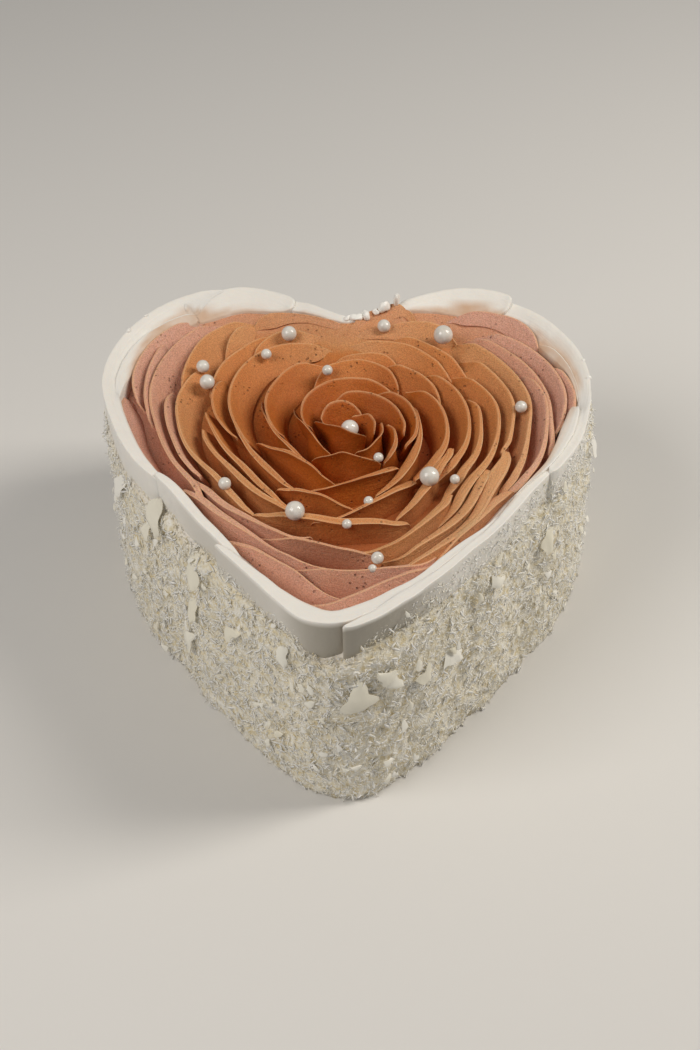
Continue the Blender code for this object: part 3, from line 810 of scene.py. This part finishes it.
def smooth_line(angle, rows, column):
    """A column of a table of rows, by their first value, with soft corners."""
    table = np.array(rows, float)
    line = np.interp(angle, table[:, 0], table[:, column])
    window = np.hanning(11)[1:-1]
    padded = np.concatenate((np.full(4, line[0]), line, np.full(4, line[-1])))
    return np.convolve(padded, window / window.sum(), "valid")


def tip_face(angle):
    """1 for the bare face below the tip's border, painted grey as shade, 0 elsewhere."""
    return bell(from_tip(angle), 4.0, 17.0, 4)


def undercut(angle):
    """How far the border's outer face leans in at its foot, most below the tip."""
    return (0.5 + 1.3 * tip_face(angle)) * MM


def ripple(points):
    """The spatula's small ups and downs on the border's top, in metres."""
    heights = [0.3 * noise.noise(Vector(point) * 120) + 0.14 * noise.noise(Vector(point) * 330)
               for point in points.reshape(-1, 3)]
    return np.array(heights).reshape(points.shape[:-1]) * MM


def border_arrays(petal, seed):
    """A broad soft ribbon: a tall outer face, a crisp rim, and a top that slopes inwards."""
    start, end = petal[0][0], petal[-1][0]
    length = math.radians(end - start) * 100 * MM
    count = max(30, int(length / (1.0 * MM)))
    share = np.linspace(0, 1, count)
    share = 0.6 * share + 0.4 * smooth_step(share)
    angle = start + (end - start) * share
    inset, width, lift = (smooth_line(angle, petal, column) * MM for column in (1, 2, 3))
    behind = smooth_step(0.5 + backwards(angle))
    cut = undercut(angle)
    from_end = np.minimum(share, 1 - share) * length
    rounding = 1 - quarter_round(from_end, 1.6 * MM)
    width = width + waves(share, 5, 0.3 * MM, seed + 20)
    blunt = 1 - quarter_round(from_end, 4.5 * MM)
    lost = np.clip(width, 0, None) * 0.7 * blunt
    width = np.maximum(width - lost, 0.7 * MM)
    outer = inset + waves(share, 4, 0.3 * MM, seed) + 0.5 * lost
    rim = RIM_HEIGHT + lift + waves(share, 4, 0.25 * MM, seed + 40) - 1.2 * MM * rounding
    fall = width * (0.12 + 0.26 * behind)
    inside = min(row[1] for row in petal) > 3
    low = 108 * MM if inside else np.minimum(shaving_top(angle), 104 * MM) - 3 * MM
    # The top's points: share of the width inwards, share of the fall, and a further drop in mm.
    top_section = ((0.0, 0.0, 0.42), (0.02, 0.0, 0.1), (0.06, 0.01, 0.0), (0.16, 0.06, 0.0),
                   (0.4, 0.3, 0.12), (0.65, 0.62, 0.1), (0.86, 0.92, -0.05), (0.95, 0.98, 0.15),
                   (1.0, 1.0, 0.6))
    columns = []
    for up in (0.0, 0.3, 0.6, 0.9):
        bulge = 0.3 * math.sin(math.pi * up) * MM
        columns.append((-outer - (1 - up) * cut + bulge, low + (rim - 0.8 * MM - low) * up))
    for across, share_of_fall, drop in top_section:
        columns.append((-outer - width * across, rim - fall * share_of_fall - drop * MM))
    inner_top = rim - fall - 0.6 * MM
    for up in (0.7, 0.3, 0.0):
        columns.append((-outer - width - 2.0 * MM * (1 - up), low + (inner_top - low) * up))
    points = np.empty((count, len(columns), 3))
    for index, (push, height) in enumerate(columns):
        points[:, index] = rim_point(angle, push, height)
    points[:, 4:14, 2] += ripple(points[:, 4:14])
    across = np.array((0,) * 5 + (0.02, 0.06, 0.16, 0.4, 0.65, 0.86, 0.95, 1, 1, 1, 1), float)
    starts = np.interp(angle % 360.0, *zip(*SMEAR_STARTS))[:, None]
    deep = (outer[:, None] + across[None] * width[:, None]) / MM
    smeared = np.maximum(behind, 0.8 * bell(from_tip(angle), 62.0, 26.0))[:, None]
    inner = smeared * smooth_step((deep - starts) / 2.5) * (across[None] > 0.1)
    inner = inner + (1 - behind[:, None]) * 0.5 * smooth_step((across[None] - 0.88) / 0.12)
    across = across[None] * width[:, None] / MM + 10.0 * (seed % 7)
    # Painted shade: the outer face is greyed below the tip and, more faintly, at the front left.
    painted_shade_share = np.maximum(tip_face(angle), 0.4 * bell(from_tip(angle), -32.0, 24.0, 4))
    bare = np.array((1.0,) * 4 + (0.0,) * 12)[None] * painted_shade_share[:, None]
    tones = {"inner": inner.ravel(), "across": across.ravel(), "bare": bare.ravel()}
    return points.reshape(-1, 3), closed_faces(count, len(columns)), tones


def build_border():
    parts = [border_arrays(petal, 300 + index) for index, petal in enumerate(BORDER_PETALS)]
    columns = 240
    angle = np.arange(columns) * 360.0 / columns
    low = SHOULDER_HEIGHT + 0.5 * MM
    section = ((-5.0, 0.0), (-5.0, 10.0), (-7.0, 11.0), (-10.0, 8.0), (-12.0, 3.0), (-13.0, 0.0))
    points = np.empty((columns, len(section), 3))
    for index, (push, height) in enumerate(section):
        points[:, index] = rim_point(angle, push * MM, low + height * MM)
    faces = grid_faces(columns, len(section), wrap_columns=True, wrap_rows=True)
    flat = np.zeros(columns * len(section))
    parts.append((points.reshape(-1, 3), faces, {"inner": flat, "across": flat, "bare": flat}))
    points, faces, tones = join_arrays(parts)
    surface = Surface("white_icing", 0.45, 0.2, 1.4 * MM, (1.0, 0.85, 0.7))
    uneven = surface.map(surface.noise(60), 0.36, 0.6, 0.55, 0.95)
    smear = surface.maths("MULTIPLY", surface.tone("inner"), uneven)
    white = surface.mix(smear, ICING_WHITE, SMEAR_TAN)
    # The grey is painted shade on the border's outer face.
    surface.colour(surface.mix(surface.tone("bare"), white, PAINTED_SHADE_GREY))
    surface.bump((surface.streaks("across", 0.7), 0.2 * MM), (surface.noise(900, 3.0), 0.08 * MM),
                 (surface.noise(150, 2.0), 0.4 * MM))
    border = mesh_object("white_border", points, faces, surface.material, True, tones)
    border.data.set_sharp_from_angle(angle=math.radians(50))
    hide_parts("icing_border")
    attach(border, "root")


# The side


def border_table():
    """The border's outermost ribbon at every degree: how far its face stands out, and its lift."""
    angles = np.arange(360.0)
    push, lift = np.full(360, -3.0), np.zeros(360)
    for rows in BORDER_PETALS:
        table = np.array(rows, float)
        for turn in (0.0, 360.0):
            place = angles + turn
            stands = -np.interp(place, table[:, 0], table[:, 1])
            outermost = (place >= table[0, 0]) & (place <= table[-1, 0]) & (stands > push)
            lift = np.where(outermost, np.interp(place, table[:, 0], table[:, 3]), lift)
            push = np.where(outermost, stands, push)
    return push * MM, lift * MM


FACE_PUSH, FACE_LIFT = border_table()


def border_face(angle):
    return np.interp(np.asarray(angle, float) % 360.0, np.arange(360.0), FACE_PUSH, period=360.0)


def side_push(height):
    """How far the shavings stand out from the rim's outline, at a height."""
    return SHAVINGS_AT_BASE + (SHAVINGS_AT_TOP - SHAVINGS_AT_BASE) * height / SHOULDER_HEIGHT


def even_angles(count):
    """Angles spread evenly along the side, with a seeded draw."""
    angle = np.arange(0.0, 360.0, 0.5)
    points = rim_point(np.append(angle, 360.0), 4 * MM, 0.0)
    run = np.concatenate(((0.0,), np.cumsum(np.linalg.norm(np.diff(points, axis=0), axis=1))))
    return np.interp(rng.uniform(0, run[-1], count), run, np.append(angle, 360.0))


def lumps(points):
    """Uneven relief at points, in metres: soft clumps with finer ones on them."""
    values = np.empty(len(points))
    for index, point in enumerate(points):
        place = Vector(point)
        values[index] = noise.fractal(place * 70, 0.9, 2.0, 2) * 1.7 + noise.noise(place * 260)
    return values * MM


def shaving_top(angle):
    """The shavings' upper limit: below the tip's bare face, and near the rim at the right."""
    turned = from_tip(angle)
    limit = np.interp(turned, *zip(*SHAVING_LIMITS))
    uneven = 1.3 * np.sin(np.radians(turned * 9.0)) + 1.0 * np.sin(np.radians(turned * 23.0 + 40))
    return (limit + uneven) * MM


def side_surface(angle, height):
    """How far the side stands out from the rim's outline, smooth just below the border."""
    fade = (3 + 6 * tip_face(angle)) * MM
    limit = np.minimum(shaving_top(angle), 101 * MM)
    smooth = smooth_step((height - limit + fade) / (fade + 2 * MM))
    flat = rim_point(angle, side_push(height), height)
    relief = lumps(flat.reshape(-1, 3)).reshape(np.shape(height))
    face = border_face(angle) + 0.3 * MM - undercut(angle)
    return (side_push(height) - 2.6 * MM + relief) * (1 - smooth) + face * smooth


def build_core():
    """The cake below its shavings: lumpy all round, smooth below the border, flat on top."""
    columns, rows = CORE_GRID
    angle = np.arange(columns) * 360.0 / columns
    height = np.linspace(0, 1, rows) ** 0.95 * SHOULDER_HEIGHT
    grid_angle, grid_height = np.meshgrid(angle, height, indexing="ij")
    bare = smooth_step((grid_height - shaving_top(grid_angle) + 5 * MM) / (3 * MM))
    push = side_surface(grid_angle, grid_height) - 1.1 * MM * bare
    points = rim_point(grid_angle, push, grid_height)
    points[:, 0, 2] = 0.0
    shoulder = side_surface(angle, np.full(columns, SHOULDER_HEIGHT))
    top_push = np.minimum(-2.0 * MM, shoulder - 1.6 * MM)
    points[:, -1] = rim_point(angle, top_push, SHOULDER_HEIGHT)
    faces = grid_faces(columns, rows, wrap_rows=True)
    caps = []
    centre_low = columns * rows
    for index in range(columns):
        after = (index + 1) % columns
        caps.append((centre_low, after * rows, index * rows, -1))
        caps.append((centre_low + 1, index * rows + rows - 1, after * rows + rows - 1, -1))
    middle = np.array(((0, 0, 0), (0, 0, SHOULDER_HEIGHT)))
    all_points = np.concatenate((points.reshape(-1, 3), middle))
    tones = {"bare": np.concatenate((bare.ravel(), (0, 0)))}
    surface = Surface("cake_coat", 0.6)
    crumb = surface.ramp(surface.noise(330, 4.0), *COAT_STOPS)
    surface.colour(surface.mix(surface.tone("bare"), crumb, COAT_SMOOTH))
    surface.bump((surface.noise(1500, 3.0), 0.4 * MM))
    faces = np.concatenate((faces, np.array(caps)))
    core = mesh_object("cake_core", all_points, faces, surface.material, True, tones)
    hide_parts("cake")
    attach(core, "root")


def side_places(count, push_range):
    """Random places on the side, with outward, sideways and upward directions, and a tone from
    their relief that paints shade in the hollows.
    """
    angle = even_angles(count)
    height = rng.uniform(0.0, 1.0, count) * shaving_top(angle)
    push = rng.uniform(*push_range, count)
    out = outward(angle)
    surface = side_surface(angle, height)
    points = rim_point(angle, surface + push * MM, height)
    relief = (surface - side_push(height)) / MM + 2.6
    across = np.stack((-out[:, 1], out[:, 0], np.zeros(count)), axis=-1)
    up = np.tile((0.0, 0.0, 1.0), (count, 1))
    # Painted shade: the tone is lower in the hollows and for shavings pushed in, and higher on the
    # crests.
    return points, out, across, up, 0.3 * push + 0.16 * np.clip(relief, -2, 2)


def directions(out, across, up, face_up, loose):
    """Random directions along, across and out of each shaving, turned upwards on the whole."""
    count = len(out)
    face = np.radians(rng.normal(face_up, loose, count))
    sway = np.radians(rng.normal(0, loose, count))
    normal = out * (np.cos(face) * np.cos(sway))[:, None] + up * np.sin(face)[:, None]
    normal = normal + across * (np.cos(face) * np.sin(sway))[:, None]
    turn = rng.uniform(0, 2 * math.pi, count)
    along = across * np.cos(turn)[:, None] + up * np.sin(turn)[:, None]
    along = along - normal * np.sum(along * normal, axis=1)[:, None]
    along = along / np.linalg.norm(along, axis=1)[:, None]
    return along, np.cross(normal, along), normal


def finish_shavings(name, points, faces, tone, finish, smooth):
    low = points[..., 2].reshape(len(points), -1).min(axis=1)
    lift = np.maximum(0.05 * MM - low, 0.0)
    points[..., 2] += lift.reshape((-1,) + (1,) * (points.ndim - 2))
    surface = Surface(name + "_finish", 0.6, 0.25, 1.2 * MM, (1.0, 0.87, 0.6))
    # The tone runs from the deep colour to the palest; its offsets paint shade in the hollows and
    # light on the crests.
    deep, pale, spread = finish
    tone_socket = surface.maths(
        "ADD", surface.tone("tone"), surface.map(surface.noise(90), 0.3, 0.7, -spread, spread))
    surface.colour(surface.ramp(tone_socket, (0.0, deep), (0.45, pale), (1.0, SHAVING_PALEST)))
    points = points.reshape(-1, 3)
    piece = mesh_object(name, points, faces, surface.material, smooth, {"tone": tone})
    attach(piece, "root")


def build_crumbs(name, count, lengths, widths, pushes, loose, finish):
    """The finest shavings: closed slivers of four corners."""
    points, out, across, up, painted_shade_offset = side_places(count, pushes)
    along, side, normal = directions(out, across, up, 34, loose)
    length = (rng.uniform(*lengths, count) * MM)[:, None]
    width = (rng.uniform(*widths, count) * MM)[:, None]
    thick = width * 0.28
    corners = np.stack((
        points - along * length / 2,
        points + along * length / 2 + normal * length * 0.08,
        points - side * width / 2 + normal * thick,
        points + side * width / 2 + normal * thick,
    ), axis=1)
    one = np.array(((0, 1, 2), (0, 3, 1), (0, 2, 3), (1, 3, 2)))
    # The flattest slivers bend through their own middle, so their faces go the other way round.
    flat = (thick < 0.04 * length)[:, :, None]
    faces = np.where(flat, one[None, :, ::-1], one[None])
    faces = (faces + (np.arange(count) * 4)[:, None, None]).reshape(-1, 3)
    own = rng.uniform(0.25, 0.75, count) + painted_shade_offset
    # The corners that stand out from the side are painted a little paler, as light.
    tone = own[:, None] + np.array((0.0, 0.1, 0.05, 0.05))[None]
    finish_shavings(name, corners, faces, tone.ravel(), finish, False)


def build_curls(name, count, stations, lengths, widths, curls, pushes, loose, finish):
    """Curled shavings: closed ribbons with a folded section, that bend along their length."""
    place, out, across, up, painted_shade_offset = side_places(count, pushes)
    along, side, normal = directions(out, across, up, 33, loose)
    length = rng.uniform(*lengths, count) * MM
    width = rng.uniform(*widths, count) * MM
    curl = rng.uniform(*curls, count)
    result = np.empty((count, stations, 3, 3))
    place = place - along * (length * 0.45)[:, None]
    for station in range(stations):
        share = station / (stations - 1)
        bend = curl * (share - 0.45)
        step_way = along * np.cos(bend)[:, None] + normal * np.sin(bend)[:, None]
        lift = normal * np.cos(bend)[:, None] - along * np.sin(bend)[:, None]
        if station:
            place = place + step_way * (length / (stations - 1))[:, None]
        wide = width * (0.35 + 0.65 * math.sin(math.pi * (0.12 + 0.76 * share)))
        wide = wide * rng.uniform(0.75, 1.25, count)
        result[:, station, 0] = place - side * (wide / 2)[:, None]
        result[:, station, 1] = place + lift * (wide * 0.16 + 0.08 * MM)[:, None]
        result[:, station, 2] = place + side * (wide / 2)[:, None]
    one = np.concatenate((
        grid_faces(stations, 3, wrap_columns=True),
        np.array(((0, 1, 2, -1), (stations * 3 - 1, stations * 3 - 2, stations * 3 - 3, -1))),
    ))
    starts = (np.arange(count) * stations * 3)[:, None, None]
    faces = np.where(one[None] >= 0, one[None] + starts, -1).reshape(-1, 4)
    own = rng.uniform(0.3, 0.8, count) + painted_shade_offset
    # Painted shade and light: each curl is darker at its first end and paler towards the other.
    shade_and_light_along = np.repeat(np.linspace(-0.08, 0.12, stations), 3)
    tone = own[:, None] + shade_and_light_along[None]
    finish_shavings(name, result, faces, tone.ravel(), finish, True)


def flake_arrays(flake, seed, rows, columns):
    """A thin bent flake with an uneven outline, closed all round."""
    angle, height, length, turn, pointed = flake
    draw = np.random.default_rng(seed)
    along = np.linspace(-0.5, 0.5, rows)
    leaf = np.sqrt(np.clip(1 - (2 * np.abs(along)) ** 2.2, 0.015, 1)) * draw.uniform(0.22, 0.32)
    shard = 0.02 + (0.5 - along) * draw.uniform(0.42, 0.55)
    half = leaf * (1 - pointed) + shard * pointed
    half = half * (1 + 0.12 * np.sin(along * 13 + draw.uniform(0, 6)))
    across = np.linspace(-1, 1, columns)
    way_x = np.broadcast_to(along[:, None], (rows, columns))
    way_y = 0.07 * np.sin(along * 5 + draw.uniform(0, 6))[:, None] + half[:, None] * across[None]
    bend = draw.uniform(0.04, 0.12) * (1 - (2 * along[:, None]) ** 2) - 0.08 * across[None] ** 2
    bend = bend + 0.1 * draw.uniform(-1, 1) * along[:, None] * across[None]
    turned = math.radians(turn)
    x = (way_x * math.cos(turned) - way_y * math.sin(turned)) * length * MM
    y = (way_x * math.sin(turned) + way_y * math.cos(turned)) * length * MM
    flake_angle = angle + np.degrees(x / (float(heart_radius(angle)) + 5 * MM))
    flake_height = np.maximum(height * MM + y, 0.5 * MM)
    middle = float(side_surface(np.array([angle]), np.array([height * MM]))[0])
    below_flake = 0.5 * middle + 0.5 * side_surface(flake_angle, flake_height)
    tip_up = draw.uniform(0.2, 0.55) * y
    sheets = []
    for side in (1, -1):
        push = below_flake + 2.0 * MM + bend * length * MM * 0.7 - tip_up + side * 0.13 * MM
        sheets.append(rim_point(flake_angle, push, flake_height))
    points = np.stack(sheets).reshape(-1, 3)
    edge = [*range(columns)] + [row * columns + columns - 1 for row in range(1, rows)]
    edge += [*range((rows - 1) * columns + columns - 2, (rows - 1) * columns - 1, -1)]
    edge += [row * columns for row in range(rows - 2, 0, -1)]
    below = rows * columns
    steps = zip(edge, edge[1:] + edge[:1])
    rim = [(start, after, after + below, start + below) for start, after in steps]
    sheet = grid_faces(rows, columns)
    faces = np.concatenate((sheet, sheet[:, ::-1] + below, np.array(rim)))
    return points, faces, {"tone": np.full(len(points), draw.uniform(0.2, 0.8))}


def crumb_arrays(crumb, seed):
    """A small uneven lump on the rim's outer edge."""
    angle, above, width, tall = crumb
    draw = np.random.default_rng(seed)
    rings, segments = 10, 16
    fall = np.linspace(0.05, math.pi - 0.05, rings)[:, None]
    turn = (np.arange(segments) * 2 * math.pi / segments)[None]
    first, second, third = draw.uniform(0, 2 * math.pi, 3)
    uneven = 0.24 * np.sin(2 * turn + first) + 0.2 * np.sin(3 * turn + second) * np.cos(fall)
    radius = width / 2 * MM * (1 + uneven * np.sin(fall) + 0.1 * np.sin(3 * fall + third))
    rim = RIM_HEIGHT + float(FACE_LIFT[int(angle) % 360])
    middle = rim_point(np.array([angle]), border_face(angle) - 0.6 * MM, rim + above * MM)[0]
    points = np.stack((
        middle[0] + radius * np.sin(fall) * np.cos(turn),
        middle[1] + radius * np.sin(fall) * np.sin(turn),
        middle[2] + radius * np.cos(fall) * tall / width,
    ), axis=-1).reshape(-1, 3)
    return points, closed_faces(rings, segments), {"tone": np.full(len(points), 0.9)}


def build_flakes():
    parts = [flake_arrays(flake, 700 + index, 11, 7) for index, flake in enumerate(LARGE_FLAKES)]
    parts += [crumb_arrays(crumb, 1300 + index) for index, crumb in enumerate(RIM_CRUMBS)]
    angle = even_angles(SMALL_FLAKES)
    height = rng.uniform(0.05, 0.96, SMALL_FLAKES) * shaving_top(angle) / MM
    for index in range(SMALL_FLAKES):
        draws = (rng.uniform(2.2, 5), rng.uniform(0, 180), rng.uniform(0, 0.9))
        parts.append(flake_arrays((angle[index], height[index], *draws), 800 + index, 5, 4))
    points, faces, tones = join_arrays(parts)
    surface = Surface("flake_finish", 0.38)
    surface.colour(surface.ramp(surface.tone("tone"), *FLAKE_STOPS))
    surface.bump((surface.noise(500, 2.0), 0.1 * MM))
    flakes = mesh_object("large_flakes", points, faces, surface.material, True, tones)
    flakes.data.set_sharp_from_angle(angle=math.radians(40))
    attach(flakes, "root")


def build_shavings():
    build_crumbs("fine_crumbs", 46000, (0.8, 2.1), (0.28, 0.6), (-0.4, 0.6), 18,
                 ("E3D3A8", "F6F1E3", 0.12))
    build_curls("fine_shreds", 13800, 3, (1.3, 2.9), (0.28, 0.65), (-0.7, 1.2), (-0.2, 0.8), 17,
                ("E7D9B2", "F8F4E8", 0.12))
    build_curls("curled_shavings", 5600, 5, (2.0, 4.6), (0.5, 1.3), (-0.6, 1.7), (-0.2, 1.0), 16,
                ("EADDBA", "F9F6EC", 0.1))
    build_flakes()


# The pearls


def pearl_arrays(pearl):
    x, y, diameter, rise = pearl
    middle = np.array((x * MM, y * MM, 0.0))
    from_rose = np.linalg.norm(middle - ROSE_CENTRE)
    middle[2] = rose_top(from_rose) + rise * diameter * MM / 2
    segments, rings = 40, 24
    turn = np.arange(segments) * 2 * math.pi / segments
    fall = np.linspace(0.001, math.pi - 0.001, rings)
    radius = diameter * MM / 2
    points = np.empty((rings, segments, 3))
    points[..., 0] = radius * np.sin(fall)[:, None] * np.cos(turn)
    points[..., 1] = radius * np.sin(fall)[:, None] * np.sin(turn)
    points[..., 2] = radius * np.cos(fall)[:, None]
    points = points.reshape(-1, 3) + middle
    return points, closed_faces(rings, segments), {"tone": np.zeros(len(points))}


def build_pearls():
    points, faces, tones = join_arrays([pearl_arrays(pearl) for pearl in PEARLS])
    surface = Surface("pearl_sugar", 0.25, 0.15, 1.0 * MM, (1.0, 0.9, 0.8))
    surface.colour(surface.ramp(surface.noise(300, 2.0), *PEARL_STOPS))
    surface.shader.inputs["Coat Weight"].default_value = 0.6
    surface.shader.inputs["Coat Roughness"].default_value = 0.12
    surface.bump((surface.noise(900, 2.0), 0.05 * MM))
    pearls = mesh_object("sugar_pearls", points, faces, surface.material, True, tones)
    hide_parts(*[f"pearl_{index + 1:02d}" for index in range(len(PEARLS))])
    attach(pearls, "root")


# Floor, light and camera


def build_stage():
    half, low = 3.0, -0.2 * MM
    corners = ((-half, -half, low), (half, -half, low), (half, half, low), (-half, half, low))
    surface = Surface("floor", 0.8)
    surface.shader.inputs["Base Color"].default_value = linear(FLOOR_COLOUR)
    floor = mesh_object("floor", np.array(corners), np.array(((0, 1, 2, 3),)), surface.material)
    world = bpy.data.worlds.new("studio")
    bpy.context.scene.world = world
    world.use_nodes = True
    sky = world.node_tree.nodes["Background"].inputs
    sky["Color"].default_value = linear(SKY_COLOUR)
    sky["Strength"].default_value = 0.16


def area_light(name, place, target, size, power, colour):
    light = bpy.data.lights.new(name, "AREA")
    light.shape = "RECTANGLE"
    light.size, light.size_y = size
    light.energy = power
    light.color = linear(colour)[:3]
    thing = bpy.data.objects.new(name, light)
    thing.location = place
    thing.rotation_euler = (Vector(target) - Vector(place)).to_track_quat("-Z", "Y").to_euler()
    bpy.context.scene.collection.objects.link(thing)


def build_lights():
    area_light("left_box", (-0.70, -0.42, 0.98), (0, 0, 0.1), (0.6, 0.6), 6.8, "FFFAF4")
    area_light("right_box", (0.82, 0.12, 0.90), (0, 0, 0.1), (0.3, 0.7), 8.2, "FFF9F0")


def build_camera():
    camera = bpy.data.cameras.new("camera")
    camera.sensor_fit = "AUTO"
    camera.sensor_width = 36.0
    camera.lens = 50.0
    camera.clip_start = 0.01
    thing = bpy.data.objects.new("camera", camera)
    eye = Matrix.Translation(CAMERA_PLACE)
    yaw = Matrix.Rotation(math.radians(CAMERA_YAW), 4, "Z")
    pitch = Matrix.Rotation(math.radians(90.0 - CAMERA_PITCH), 4, "X")
    roll = Matrix.Rotation(math.radians(CAMERA_ROLL), 4, "Z")
    thing.matrix_world = eye @ yaw @ pitch @ roll
    bpy.context.scene.collection.objects.link(thing)
    bpy.context.scene.camera = thing


bpy.context.scene.view_settings.view_transform = "Standard"
build_core()
build_shavings()
build_border()
build_rose("rose_bud", "rose_centre", CENTRE_PETALS, 100, (0.5, 42))
build_rose("rose_ring", "rose_middle", MIDDLE_PETALS, 140, (42, 66))
build_rose("rose_edge", "rose_outer", OUTER_PETALS, 180, (66, 93))
build_pearls()
build_stage()
build_lights()
build_camera()
